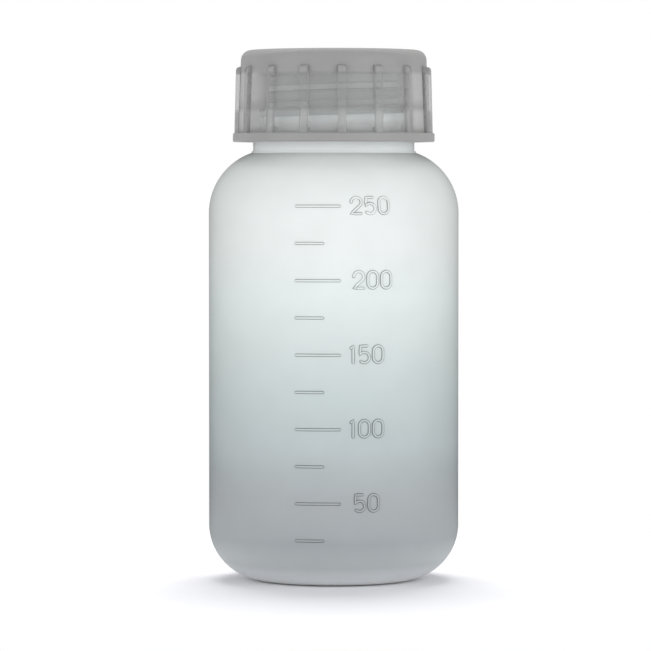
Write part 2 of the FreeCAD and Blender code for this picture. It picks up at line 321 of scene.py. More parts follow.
@dataclass(frozen=True)
class HelicalRidge:
    """A right-hand thread ridge with both ends run out into the wall that carries it.

    Sizes are in millimetres. The ridge starts on the -X side.
    """

    wall_radius: float
    crest_radius: float
    root_width: float
    crest_width: float
    start_level: float
    pitch: float
    turns: float
    narrowing: float = 0.0  # how much the wall's radius shrinks for each millimetre up
    run_out: float = 30.0  # degrees of turn over which an end sinks into the wall
    overlap: float = 0.4  # depth of the ridge's foot inside the wall
    steps_per_turn: int = 72

    def reach(self, turned: float) -> tuple[float, float]:
        """Give the radii of the ridge's foot and crest, at an angle from its start.

        Args:
            turned: degrees from the start of the ridge.

        Returns:
            The foot's and the crest's radius in millimetres.
        """
        wall = self.wall_radius - self.narrowing * self.pitch * turned / 360.0
        outward = math.copysign(1.0, self.crest_radius - self.wall_radius)
        hidden = wall - outward * self.overlap / 4.0
        share = min(1.0, turned / self.run_out, (360.0 * self.turns - turned) / self.run_out)
        return wall - outward * self.overlap, hidden + (self.crest_radius - hidden) * max(share, 0.0)

    def model(self, name: str) -> bpy.types.Object:
        """Sweep the section along the helix, step by step.

        Args:
            name: the name of the new object.

        Returns:
            The closed ridge.
        """
        foot, crest = self.reach(0.0)
        half_root, half_crest = self.root_width / 2.0, self.crest_width / 2.0
        section = Outline(name, -foot, self.start_level - half_root)
        section.line_to(-crest, self.start_level - half_crest)
        section.line_to(-crest, self.start_level + half_crest)
        section.line_to(-foot, self.start_level + half_root)
        section.line_to(-foot, self.start_level - half_root)
        ridge = section.done(close=True)
        with editing(ridge):
            bpy.ops.mesh.select_all(action="SELECT")
            bpy.ops.mesh.edge_face_add()
            steps = round(self.steps_per_turn * self.turns)
            step_angle = 360.0 * self.turns / steps
            rise = self.pitch * self.turns / steps
            for step in range(1, steps + 1):
                new_foot, new_crest = self.reach(step * step_angle)
                growth = (new_crest - new_foot) / (crest - foot)
                heading = math.radians(180.0 + step * step_angle)
                across, back = math.cos(heading) * MM, math.sin(heading) * MM
                bpy.ops.mesh.extrude_region_move(TRANSFORM_OT_translate={"value": (0.0, 0.0, rise * MM)})
                bpy.ops.transform.rotate(  # with no window it turns the other way
                    value=-math.radians(step_angle), orient_axis="Z", center_override=(0.0, 0.0, 0.0)
                )
                bpy.ops.transform.resize(
                    value=(growth, growth, 1.0), center_override=(across * foot, back * foot, 0.0)
                )
                bpy.ops.transform.translate(
                    value=(across * (new_foot - foot), back * (new_foot - foot), 0.0)
                )
                foot, crest = new_foot, new_crest
            bpy.ops.mesh.select_all(action="SELECT")
            bpy.ops.mesh.normals_make_consistent(inside=False)
        return ridge


# Finishes


def linear(hex_colour: str) -> Colour:
    """Turn an sRGB hex colour to the linear values that a socket takes.

    Args:
        hex_colour: such as "#F2F5F4".

    Returns:
        Red, green, blue and a full alpha.
    """
    parts = [int(hex_colour[place : place + 2], 16) / 255.0 for place in (1, 3, 5)]
    red, green, blue = ((p / 12.92 if p <= 0.04045 else ((p + 0.055) / 1.055) ** 2.4) for p in parts)
    return red, green, blue, 1.0


def add_node(tree: bpy.types.NodeTree, kind: str, sockets: dict[Any, Any], **settings: Any) -> bpy.types.Node:
    """Add a node with its settings, socket values and links.

    Args:
        tree: the tree that it goes into.
        kind: the node's type name.
        sockets: for an input's name or number, a value or another node's output.
        settings: the node's own properties.

    Returns:
        The new node.
    """
    node = tree.nodes.new(kind)
    for name, setting in settings.items():
        setattr(node, name, setting)
    for name, given in sockets.items():
        if isinstance(given, bpy.types.NodeSocket):
            tree.links.new(given, node.inputs[name])
        else:
            node.inputs[name].default_value = given
    return node


def set_stops(ramp: bpy.types.Node, stops: list[tuple[float, Colour]]) -> None:
    """Give a Color Ramp its stops.

    Args:
        ramp: the node.
        stops: place from 0 to 1 and colour of each, in rising order.
    """
    elements = ramp.color_ramp.elements
    while len(elements) < len(stops):
        elements.new(1.0)
    for element, (place, colour) in zip(elements, stops):
        element.position = place
        element.color = colour


def fresh_material(name: str) -> tuple[bpy.types.Material, bpy.types.NodeTree]:
    """Make a material with an empty tree.

    Args:
        name: what the material is.

    Returns:
        The material and its tree.
    """
    material = bpy.data.materials.new(name)
    material.use_nodes = True
    material.node_tree.nodes.clear()
    return material, material.node_tree


@dataclass(frozen=True)
class BlowMouldedPolypropylene:
    """Natural polypropylene blown into a sand-blasted mould."""

    name: str = "natural_blow_moulded_polypropylene"
    # By level in mm: greyer towards the foot, painted shade where the light falls off down the body; the
    # near-white stops at the very foot are painted light against the shade where it meets the floor.
    tints_with_painted_light_and_shade: tuple[tuple[float, str], ...] = (
        (0.6, "#FDFDFD"),
        (2.2, "#DEDFE1"),
        (5.0, "#B8BCBD"),
        (11.0, "#A3A7A9"),
        (22.0, "#B2B5B7"),
        (34.0, "#C7CECF"),
        (46.0, "#D3DBDB"),
        (58.0, "#E3E9E8"),
        (70.0, "#F2F7F6"),
        (82.0, "#FAFCFA"),
        (103.0, "#FAFCFA"),
        (107.0, "#F8FBFA"),
        (128.0, "#F8FBFA"),
    )
    roughness: float = 0.58
    ior: float = 1.49
    painted_shade_scale: float = 1.0  # scale on the colour; below 1 it is painted shade, on the raised flanks and the thread ridge
    skin: str = "#D6D8D7"  # tint of the clear skin over the milky core, looked through straight
    # lighter skin on the neck: painted light for the neck in the shade of the cap's flange
    neck_skin_painted_light: str = "#F0F0F0"
    skin_share: float = 0.55  # how much of the light the skin colours
    skin_levels: tuple[float, ...] = (6.0, 28.0, 102.0, 105.5)  # it fades in and out between pairs; the fade at the foot and onto the lighter neck skin is painted light, lifting the heel's outline and the neck under the cap's flange
    cloud_size: float = 9.0  # mm between thicker and thinner patches of the wall
    cloud_shades: tuple[float, float] = (0.975, 1.01)
    cloud_roughness: float = 0.04  # how far the patches differ from the roughness above
    grain_size: float = 0.35  # mm; the blasted grain is finer, drawn as coarse as it needs to show
    grain_depth: float = 0.02
    grain_strength: float = 0.12

    def make(self) -> bpy.types.Material:
        """Build the node tree.

        The wall is milky and softly matt, with faint clouds where the parison stretched unevenly. Its colour
        is painted greyer towards the foot, as painted shade where the light falls off down the body, and
        painted near-white again at the very foot, as painted light against the shade where it meets the
        floor. Light that leaves it at a slant has come a longer way through the plastic, so the wall darkens
        towards its outline: the coat, which reflects nothing, absorbs that share. The coat fades out at the
        foot and on the neck: painted light that lifts the heel's outline and the neck in the shade of the
        cap's flange.

        Returns:
            The material.
        """
        material, tree = fresh_material(self.name)
        place = add_node(tree, "ShaderNodeTexCoord", {}).outputs["Object"]
        height = add_node(tree, "ShaderNodeSeparateXYZ", {0: place}).outputs["Z"]
        top = self.tints_with_painted_light_and_shade[-1][0]
        share = add_node(tree, "ShaderNodeMath", {0: height, 1: 1.0 / (top * MM)}, operation="MULTIPLY")
        # Tints by level: painted shade towards the foot, painted light at the very foot.
        tint = add_node(tree, "ShaderNodeValToRGB", {"Fac": share.outputs[0]})
        set_stops(tint, [(level / top, linear(colour)) for level, colour in self.tints_with_painted_light_and_shade])
        cloud = add_node(
            tree,
            "ShaderNodeTexNoise",
            {"Vector": place, "Scale": 1.0 / (self.cloud_size * MM), "Detail": 2.0},
        )
        patch = add_node(
            tree,
            "ShaderNodeMapRange",
            {
                "Value": cloud.outputs["Fac"],
                "From Min": NOISE_SPAN[0],
                "From Max": NOISE_SPAN[1],
                "To Min": self.cloud_shades[0],
                "To Max": self.cloud_shades[1],
            },
        )
        # The scale paints shade: a darker colour on the raised flanks and the thread ridge.
        shade = add_node(tree, "ShaderNodeMath", {0: patch.outputs[0], 1: self.painted_shade_scale}, operation="MULTIPLY")
        colour = add_node(
            tree,
            "ShaderNodeVectorMath",
            {0: tint.outputs["Color"], "Scale": shade.outputs[0]},
            operation="SCALE",
        )
        grain = add_node(
            tree,
            "ShaderNodeTexNoise",
            {"Vector": place, "Scale": 1.0 / (self.grain_size * MM), "Detail": 3.0},
        )
        bump = add_node(
            tree,
            "ShaderNodeBump",
            {
                "Height": grain.outputs["Fac"],
                "Strength": self.grain_strength,
                "Distance": self.grain_depth * MM,
            },
        )
        sheen_depth = add_node(
            tree,
            "ShaderNodeMapRange",
            {
                "Value": cloud.outputs["Fac"],
                "To Min": self.roughness - self.cloud_roughness,
                "To Max": self.roughness + self.cloud_roughness,
            },
        )
        # The coat's tint by level: faded out at the foot and lighter on the neck, painted light.
        skin = add_node(tree, "ShaderNodeValToRGB", {"Fac": share.outputs[0]})
        skin_tints = ("#FFFFFF", self.skin, self.skin, self.neck_skin_painted_light)
        skin_stops = zip(self.skin_levels, skin_tints)
        set_stops(skin, [(level / top, linear(colour)) for level, colour in skin_stops])
        surface = add_node(
            tree,
            "ShaderNodeBsdfPrincipled",
            {
                "Base Color": colour.outputs[0],
                "Roughness": sheen_depth.outputs[0],
                "IOR": self.ior,
                "Coat Weight": self.skin_share,
                "Coat Roughness": 1.0,
                "Coat IOR": 1.0,
                "Coat Tint": skin.outputs["Color"],
                "Normal": bump.outputs[0],
            },
        )
        add_node(tree, "ShaderNodeOutputMaterial", {"Surface": surface.outputs[0]})
        return material


@dataclass(frozen=True)
class InjectionMouldedPolypropylene:
    """Natural polypropylene injected into a polished mould, for the cap.

    Levels are in millimetres. A cover is how much of what lies behind one face is hidden.
    """

    name: str = "natural_injection_moulded_polypropylene"
    # By level in mm: partly the cap's own grey and partly painted light; the skirt over the thread and the
    # strip under the thread are painted lighter, lifting the shade inside the cap.
    tints_with_painted_light_and_shade: tuple[tuple[float, str], ...] = (
        (110.4, "#9D9B9A"),
        (111.4, "#ADABAA"),
        (113.8, "#B4B2B1"),
        (114.9, "#B4B2B1"),
        (116.1, "#9C9A99"),
        (118.5, "#B1AFAE"),
        (124.1, "#B1AFAE"),
        (124.9, "#9D9B9A"),
    )
    covers: tuple[tuple[float, float], ...] = (
        (109.6, 0.85),
        (110.5, 0.35),
        (112.2, 0.22),
        (113.4, 0.05),
        (115.2, 0.05),
        (116.1, 0.45),
        (118.5, 0.4),
        (124.1, 0.4),
        (124.9, 0.85),
    )
    slant_cover: float = 0.95  # for a face seen along its length
    slant: tuple[float, float] = (0.3, 0.5)  # it rises to that between these, 1 being edge on
    roughness: float = 0.52
    ior: float = 1.49
    flow_size: float = 14.0  # mm between faint flow clouds
    flow_shades: tuple[float, float] = (0.97, 1.02)
    levels: tuple[float, float] = (105.0, 131.0)  # between which the tints and covers lie

    def by_level(
        self, tree: bpy.types.NodeTree, height: bpy.types.NodeSocket, stops: list[tuple[float, Colour]]
    ) -> bpy.types.NodeSocket:
        """Look a colour up by its level on the cap.

        Args:
            tree: the tree that gets the nodes.
            height: the level in metres.
            stops: level in millimetres and linear colour of each, in rising order.

        Returns:
            The socket that holds the colour.
        """
        foot, top = self.levels
        share = add_node(
            tree, "ShaderNodeMapRange", {"Value": height, "From Min": foot * MM, "From Max": top * MM}
        )
        ramp = add_node(tree, "ShaderNodeValToRGB", {"Fac": share.outputs[0]})
        set_stops(ramp, [((level - foot) / (top - foot), colour) for level, colour in stops])
        return ramp.outputs["Color"]

    def make(self) -> bpy.types.Material:
        """Build the node tree.

        Thicker than the bottle's wall and slower cooled, so greyer and glossier. The skirt still lets the
        neck and its thread show, most of all in the strip under the thread; the flange and the top are solid
        enough to hide what lies behind them. Its tints by level are partly that grey and partly painted
        light: the skirt over the thread and the strip under it are painted lighter, lifting the shade inside
        the cap.

        Returns:
            The material.
        """
        material, tree = fresh_material(self.name)
        place = add_node(tree, "ShaderNodeTexCoord", {}).outputs["Object"]
        height = add_node(tree, "ShaderNodeSeparateXYZ", {0: place}).outputs["Z"]
        flow = add_node(
            tree,
            "ShaderNodeTexNoise",
            {"Vector": place, "Scale": 1.0 / (self.flow_size * MM), "Detail": 2.0},
        )
        patch = add_node(
            tree,
            "ShaderNodeMapRange",
            {
                "Value": flow.outputs["Fac"],
                "From Min": NOISE_SPAN[0],
                "From Max": NOISE_SPAN[1],
                "To Min": self.flow_shades[0],
                "To Max": self.flow_shades[1],
            },
        )
        # Tints by level, partly painted light on the skirt and the strip under the thread.
        tint_stops = [(level, linear(colour)) for level, colour in self.tints_with_painted_light_and_shade]
        cover_stops = [(level, (cover, cover, cover, 1.0)) for level, cover in self.covers]
        by_tint = self.by_level(tree, height, tint_stops)
        by_cover = self.by_level(tree, height, cover_stops)
        tint = add_node(
            tree, "ShaderNodeVectorMath", {0: by_tint, "Scale": patch.outputs[0]}, operation="SCALE"
        )
        slant = add_node(tree, "ShaderNodeLayerWeight", {"Blend": 0.5})
        cover = add_node(
            tree,
            "ShaderNodeMapRange",
            {
                "Value": slant.outputs["Facing"],
                "From Min": self.slant[0],
                "From Max": self.slant[1],
                "To Min": by_cover,
                "To Max": self.slant_cover,
            },
        )
        surface = add_node(
            tree,
            "ShaderNodeBsdfPrincipled",
            {
                "Base Color": tint.outputs[0],
                "Roughness": self.roughness,
                "IOR": self.ior,
                "Alpha": cover.outputs[0],
            },
        )
        add_node(tree, "ShaderNodeOutputMaterial", {"Surface": surface.outputs[0]})
        return material


@dataclass(frozen=True)
class FoamedPolyethylene:
    """Foamed polyethylene sheet, die cut into the sealing disc."""

    light: str = "#DEDEDC"
    shade: str = "#CFCFCD"
    roughness: float = 0.7
    ior: float = 1.51
    cell_size: float = 0.4  # mm across one foam cell
    cell_depth: float = 0.05
    cell_strength: float = 0.3

    def make(self) -> bpy.types.Material:
        """Build the node tree: matt off-white with the fine pits of a closed-cell foam.

        Returns:
            The material.
        """
        material, tree = fresh_material("foamed_polyethylene_sheet")
        place = add_node(tree, "ShaderNodeTexCoord", {}).outputs["Object"]
        cells = add_node(
            tree, "ShaderNodeTexVoronoi", {"Vector": place, "Scale": 1.0 / (self.cell_size * MM)}
        )
        tint = add_node(
            tree,
            "ShaderNodeMix",
            {"Factor": cells.outputs["Distance"], "A": linear(self.shade), "B": linear(self.light)},
            data_type="RGBA",
        )
        bump = add_node(
            tree,
            "ShaderNodeBump",
            {
                "Height": cells.outputs["Distance"],
                "Strength": self.cell_strength,
                "Distance": self.cell_depth * MM,
            },
        )
        surface = add_node(
            tree,
            "ShaderNodeBsdfPrincipled",
            {
                "Base Color": tint.outputs["Result"],
                "Roughness": self.roughness,
                "IOR": self.ior,
                "Normal": bump.outputs[0],
            },
        )
        add_node(tree, "ShaderNodeOutputMaterial", {"Surface": surface.outputs[0]})
        return material


# Sub-assemblies


@dataclass
class Bottle:
    """The blow-moulded bottle: wall, neck thread and pinch-off.

    Sizes are in millimetres, and levels are measured from the surface that it stands on.
    """

    body_diameter: float = 61.5
    body_wall: float = 1.1
    base_wall: float = 1.5
    heel_radius: float = 13.6
    standing_ring_width: float = 2.6
    dish_depth: float = 1.8
    shoulder_level: float = 90.3
    shoulder_radius: float = 15.7
    neck_diameter: float = 39.7
    neck_wall: float = 1.6
    neck_height: float = 22.0
    neck_step: float = 0.35
    neck_step_height: float = 0.4
    neck_step_chamfer: float = 0.12
    rim_chamfer: float = 0.35
    pinch_size: tuple[float, float, float] = (19.0, 0.9, 0.5)  # length, width and height
    pinch_edge_round: float = 0.25
    thread_pitch: float = 4.0
    thread_turns: float = 2.25
    thread_depth: float = 1.25
    thread_root_width: float = 2.2
    thread_crest_width: float = 1.2
    thread_lead_in: float = 2.4  # from the rim down to the thread's upper end
    strips: int = 216  # round the wall
    flank_steepness: float = 0.8  # cosine to the radius under which raised edges count as flanks and get painted shade
    finish: BlowMouldedPolypropylene = BlowMouldedPolypropylene()
    # A darker copy of the wall's finish for the raised flanks: painted shade.
    flank_painted_shade_finish: BlowMouldedPolypropylene = BlowMouldedPolypropylene(
        name="natural_polypropylene_painted_shade_at_raised_flanks", painted_shade_scale=0.48
    )
    # The neck's thread ridge, a touch darker than the wall: painted shade.
    ridge_finish: BlowMouldedPolypropylene = BlowMouldedPolypropylene(
        name="natural_polypropylene_at_thread_ridge", painted_shade_scale=0.97
    )

    @property
    def body_radius(self) -> float:
        """Outer radius of the body."""
        return self.body_diameter / 2.0

    @property
    def neck_radius(self) -> float:
        """Outer radius of the neck."""
        return self.neck_diameter / 2.0

    @property
    def shoulder_centre(self) -> float:
        """Distance of the shoulder arc's centre from the axis."""
        return self.body_radius - self.shoulder_radius

    @property
    def shoulder_top(self) -> float:
        """Level at which the shoulder meets the foot of the neck."""
        reach = self.neck_radius + self.neck_step - self.shoulder_centre
        return self.shoulder_level + math.sqrt(self.shoulder_radius**2 - reach**2)

    @property
    def neck_foot(self) -> float:
        """Level of the top of the small step under the neck."""
        return self.shoulder_top + self.neck_step_height

    @property
    def mouth(self) -> float:
        """Level of the rim."""
        return self.neck_foot + self.neck_height

    @property
    def thread_start(self) -> float:
        """Level at which the neck's thread starts."""
        return self.mouth - self.thread_lead_in - self.thread_turns * self.thread_pitch

    def model_wall(self) -> bpy.types.Object:
        """Turn the whole wall, outside and inside, as one closed form.

        Returns:
            The wall.
        """
        ring_outer = self.body_radius - self.heel_radius
        ring_inner = ring_outer - self.standing_ring_width
        dish_radius = (ring_inner**2 + self.dish_depth**2) / (2.0 * self.dish_depth)
        dish_sweep = math.degrees(math.asin(ring_inner / dish_radius))
        step_radius = self.neck_radius + self.neck_step
        shoulder_sweep = math.degrees(
            math.asin((self.shoulder_top - self.shoulder_level) / self.shoulder_radius)
        )
        wall = Outline("bottle_shell", 0.0, self.dish_depth)
        wall.arc_about(0.0, self.dish_depth - dish_radius, -dish_sweep, 12)
        wall.line_to(ring_outer, 0.0, 2)
        wall.arc_about(ring_outer, self.heel_radius, 90.0, 28)
        wall.line_to(self.body_radius, self.shoulder_level, 12)
        wall.arc_about(self.shoulder_centre, self.shoulder_level, shoulder_sweep, 28)
        wall.line_to(step_radius, self.neck_foot - self.neck_step_chamfer)
        wall.line_to(step_radius - self.neck_step_chamfer, self.neck_foot)
        wall.line_to(self.neck_radius, self.neck_foot)
        wall.line_to(self.neck_radius, self.mouth - self.rim_chamfer, 4)
        wall.line_to(self.neck_radius - self.rim_chamfer, self.mouth)
        self.line_inside(wall, dish_radius)
        return wall.turned(self.strips)

    def line_inside(self, wall: Outline, dish_radius: float) -> None:
        """Draw the inner side of the wall, from the rim down to the middle of the floor.

        Args:
            wall: the outline, which has reached the rim's outer edge.
            dish_radius: radius of the hollow under the base.
        """
        bore = self.neck_radius - self.neck_wall
        inner = self.body_radius - self.body_wall
        inner_shoulder = self.shoulder_radius - self.body_wall
        bore_sweep = math.degrees(math.acos((bore - self.shoulder_centre) / inner_shoulder))
        bore_foot = self.shoulder_level + inner_shoulder * math.sin(math.radians(bore_sweep))
        floor_heel = self.heel_radius - self.base_wall
        floor_dish = dish_radius + self.base_wall
        floor_ring = math.sqrt(floor_dish**2 - (floor_dish - self.dish_depth) ** 2)
        floor_sweep = math.degrees(math.asin(floor_ring / floor_dish))
        wall.line_to(bore + self.rim_chamfer, self.mouth)
        wall.line_to(bore, self.mouth - self.rim_chamfer)
        wall.line_to(bore, bore_foot, 4)
        wall.arc_about(self.shoulder_centre, self.shoulder_level, -bore_sweep, 20)
        wall.line_to(inner, self.base_wall + floor_heel, 8)
        wall.arc_about(inner - floor_heel, self.base_wall + floor_heel, -90.0, 20)
        wall.line_to(floor_ring, self.base_wall)
        wall.arc_about(0.0, self.base_wall + self.dish_depth - floor_dish, floor_sweep, 10)

    def model_thread(self) -> bpy.types.Object:
        """Wind the neck's thread ridge.

        Returns:
            The ridge.
        """
        ridge = HelicalRidge(
            wall_radius=self.neck_radius,
            crest_radius=self.neck_radius + self.thread_depth,
            root_width=self.thread_root_width,
            crest_width=self.thread_crest_width,
            start_level=self.thread_start,
            pitch=self.thread_pitch,
            turns=self.thread_turns,
        )
        return ridge.model("neck_thread")

    def model_pinch_off(self) -> bpy.types.Object:
        """Shape the welded seam across the hollow of the base.

        Returns:
            The seam, a bar with softened lower edges.
        """
        length, width, height = (size * MM for size in self.pinch_size)
        depth = height + self.base_wall / 2.0 * MM
        middle = self.dish_depth * MM - height + depth / 2.0
        start_fresh()
        bpy.ops.mesh.primitive_cube_add(size=1.0, location=(0.0, 0.0, middle), scale=(length, width, depth))
        seam = bpy.context.object
        seam.name = "pinch_off"
        settle(seam)
        bevel_edges(seam, lambda start, end: max(start.z, end.z) < middle, self.pinch_edge_round, 3)
        return seam

    def build(self, scale: "VolumeScale") -> bpy.types.Object:
        """Model the bottle with its scale and dress it.

        Args:
            scale: the raised marks and numerals.

        Returns:
            The bottle's one piece.
        """
        shell = self.model_wall()
        relief = scale.model(shell, self)
        thread = self.model_thread()
        plain = self.finish.make()
        dress(shell, plain)
        dress(relief, plain, self.flank_painted_shade_finish.make())
        shade_flanks(relief, self.flank_steepness)
        dress(thread, self.ridge_finish.make())
        fuse(shell, thread, self.model_pinch_off())
        shell = join([shell, relief])
        shell.name = "bottle_shell"
        smooth(shell)
        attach(shell, "bottle_body")
        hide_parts("bottle")
        return shell


class Numeral(Enum):
    """The digits on the scale, each one stroke of an engraver's plain alphabet."""

    ZERO = "0"
    ONE = "1"
    TWO = "2"
    FIVE = "5"


@dataclass
class VolumeScale:
    """Raised marks and numerals on the front of the bottle.

    Places across are measured along the wall from the middle of the front, in millimetres.
    """

    first_level: float = 12.0
    pitch: float = 8.92
    start_angle: float = 17.9
    long_angle: float = 21.1
    short_angle: float = 13.6
    labels: tuple[tuple[str, float], ...] = (  # a number and how far across it starts
        ("50", 4.60),
        ("100", 3.50),
        ("150", 3.50),
        ("200", 4.36),
        ("250", 3.76),
    )
    digit_width: float = 2.44  # between the middles of the strokes
    digit_height: float = 4.0
    flag_reach: tuple[float, float] = (-0.1, 0.72)  # where the one's slanting stroke starts and ends
    flag_drop: float = 0.72  # how far below the top it starts
    hook_sweep: float = 225.0  # degrees of the two's bow
    bowl_share: float = 0.51  # radius of the five's bowl, of the digit's width
    bowl_lean: float = 30.0  # degrees above level at which that bowl starts
    bowl_sweep: float = 300.0
    bar_end: float = 0.2  # how far inside the width the five's bar ends
    stem_lean: float = 0.12  # how far the five's stem leans
    round_advance: float = 3.45
    one_advance: float = 2.25
    label_lift: float = 0.2
    stroke_radius: float = 0.38
    proud: float = 0.28
    sunk: float = 0.08  # depth of the strokes' middle lines in the wall
    thinnest_tip: float = 0.05  # of the stroke's radius

    def draw(self, numeral: Numeral) -> bpy.types.Object:
        """Draw one digit's stroke, its lower left corner at the origin.

        Args:
            numeral: which digit.

        Returns:
            The stroke's middle line.
        """
        width, height, tip = self.digit_width, self.digit_height, self.stroke_radius
        half = width / 2.0
        if numeral is Numeral.ZERO:
            line = Outline("zero", 0.0, half).arc_about(half, half, 180.0, 12)
            line.line_to(width, height - half, 3).arc_about(half, height - half, 180.0, 12)
            return line.line_to(0.0, half, 3).done(close=True)
        if numeral is Numeral.ONE:
            flag_start, stem = self.flag_reach
            line = Outline("one", flag_start, height - self.flag_drop)
            return line.line_to(stem, height, 2).line_to(stem, -tip, 6).done()
        if numeral is Numeral.TWO:
            line = Outline("two", 0.0, height - half - tip).line_to(0.0, height - half)
            line.arc_about(half, height - half, -self.hook_sweep, 14)
            return line.line_to(0.0, 0.0, 4).line_to(width + tip, 0.0, 3).done()
        bowl = width * self.bowl_share
        lean = math.radians(self.bowl_lean)
        foot_x, foot_z = width - bowl - bowl * math.cos(lean), bowl + bowl * math.sin(lean)
        line = Outline("five", width - self.bar_end, height).line_to(foot_x + self.stem_lean, height, 3)
        return line.line_to(foot_x, foot_z, 3).arc_about(width - bowl, bowl, -self.bowl_sweep, 20).done()

    def model(self, shell: bpy.types.Object, bottle: Bottle) -> bpy.types.Object:
        """Lay out all strokes flat, wrap them round the bottle and raise them.

        Args:
            shell: the wall that they lie on.
            bottle: its sizes.

        Returns:
            The raised marks and numerals, their feet sunk in the wall.
        """
        radius = bottle.body_radius
        start = -math.radians(self.start_angle) * radius
        strokes = []
        for row in range(2 * len(self.labels)):
            sweep = self.long_angle if row % 2 else self.short_angle
            level = self.first_level + row * self.pitch
            mark = Outline(f"mark_{row}", start, level)
            strokes.append(mark.line_to(start + math.radians(sweep) * radius, level, 16).done())
        drawn = {numeral.value: self.draw(numeral) for numeral in Numeral}
        for order, (label, label_start) in enumerate(self.labels):
            level = self.first_level + (2 * order + 1) * self.pitch + self.label_lift
            place = label_start + self.stroke_radius
            for digit in label:
                copy = copy_of(drawn[digit])
                copy.location = (place * MM, 0.0, (level - self.digit_height / 2.0) * MM)
                settle(copy)
                strokes.append(copy)
                place += self.one_advance if digit == "1" else self.round_advance
        for line in drawn.values():
            bpy.data.objects.remove(line)
        return self.raise_strokes(join(strokes), shell, radius)

    @staticmethod
    def refine_ends(lines: bpy.types.Object) -> None:
        """Split the first and last edge of each open line, so that its tips can be rounded.

        Args:
            lines: the middle lines of all strokes.
        """
        with editing(lines) as mesh:
            bpy.ops.mesh.select_mode(type="EDGE")
            bpy.ops.object.mode_set(mode="OBJECT")
            uses = [corner for edge in mesh.edges for corner in edge.vertices]
            for edge in mesh.edges:
                edge.select = any(uses.count(corner) == 1 for corner in edge.vertices)
            bpy.ops.object.mode_set(mode="EDIT")
            bpy.ops.mesh.subdivide(number_cuts=4)
            bpy.ops.mesh.select_mode(type="VERT")

    def round_tips(self, strokes: bpy.types.Curve) -> None:
        """Narrow each open stroke to a half circle over its last stretch.

        Args:
            strokes: the curve that holds all strokes.
        """
        reach = self.stroke_radius * MM
        for line in strokes.splines:
            if line.use_cyclic_u:
                continue
            for points in (list(line.points), list(reversed(line.points))):
                for point in points:
                    gone = min((point.co - points[0].co).length / reach, 1.0)
                    if gone == 1.0:
                        break
                    point.radius = max(math.sqrt(1.0 - (1.0 - gone) ** 2), self.thinnest_tip)

    def raise_strokes(
        self, lines: bpy.types.Object, shell: bpy.types.Object, radius: float
    ) -> bpy.types.Object:
        """Wrap flat lines round the wall and give them their rounded, flat-topped body.

        Args:
            lines: the middle lines of all strokes, upright in front of the wall.
            shell: the wall.
            radius: its radius on the body.

        Returns:
            The raised strokes.
        """
        lines.name = "volume_scale"
        across = [vertex.co.x for vertex in lines.data.vertices]
        width = max(across) - min(across)
        apply_modifier(
            lines, "SIMPLE_DEFORM", deform_method="BEND", deform_axis="Z", angle=width / (radius * MM)
        )
        lines.location = (0.0, -radius * MM, 0.0)
        settle(lines)
        apply_modifier(
            lines,
            "SHRINKWRAP",
            target=shell,
            wrap_method="NEAREST_SURFACEPOINT",
            wrap_mode="ABOVE_SURFACE",
            offset=-self.sunk * MM,
        )
        self.refine_ends(lines)
        bpy.ops.object.convert(target="CURVE")
        lines = bpy.context.object
        lines.data.bevel_depth = self.stroke_radius * MM
        lines.data.bevel_resolution = 4
        lines.data.use_fill_caps = True
        self.round_tips(lines.data)
        bpy.ops.object.convert(target="MESH")
        lines = bpy.context.object
        face_outwards(lines)
        apply_modifier(
            lines,
            "SHRINKWRAP",
            target=shell,
            wrap_method="NEAREST_SURFACEPOINT",
            wrap_mode="INSIDE",
            offset=-self.proud * MM,
        )
        return lines


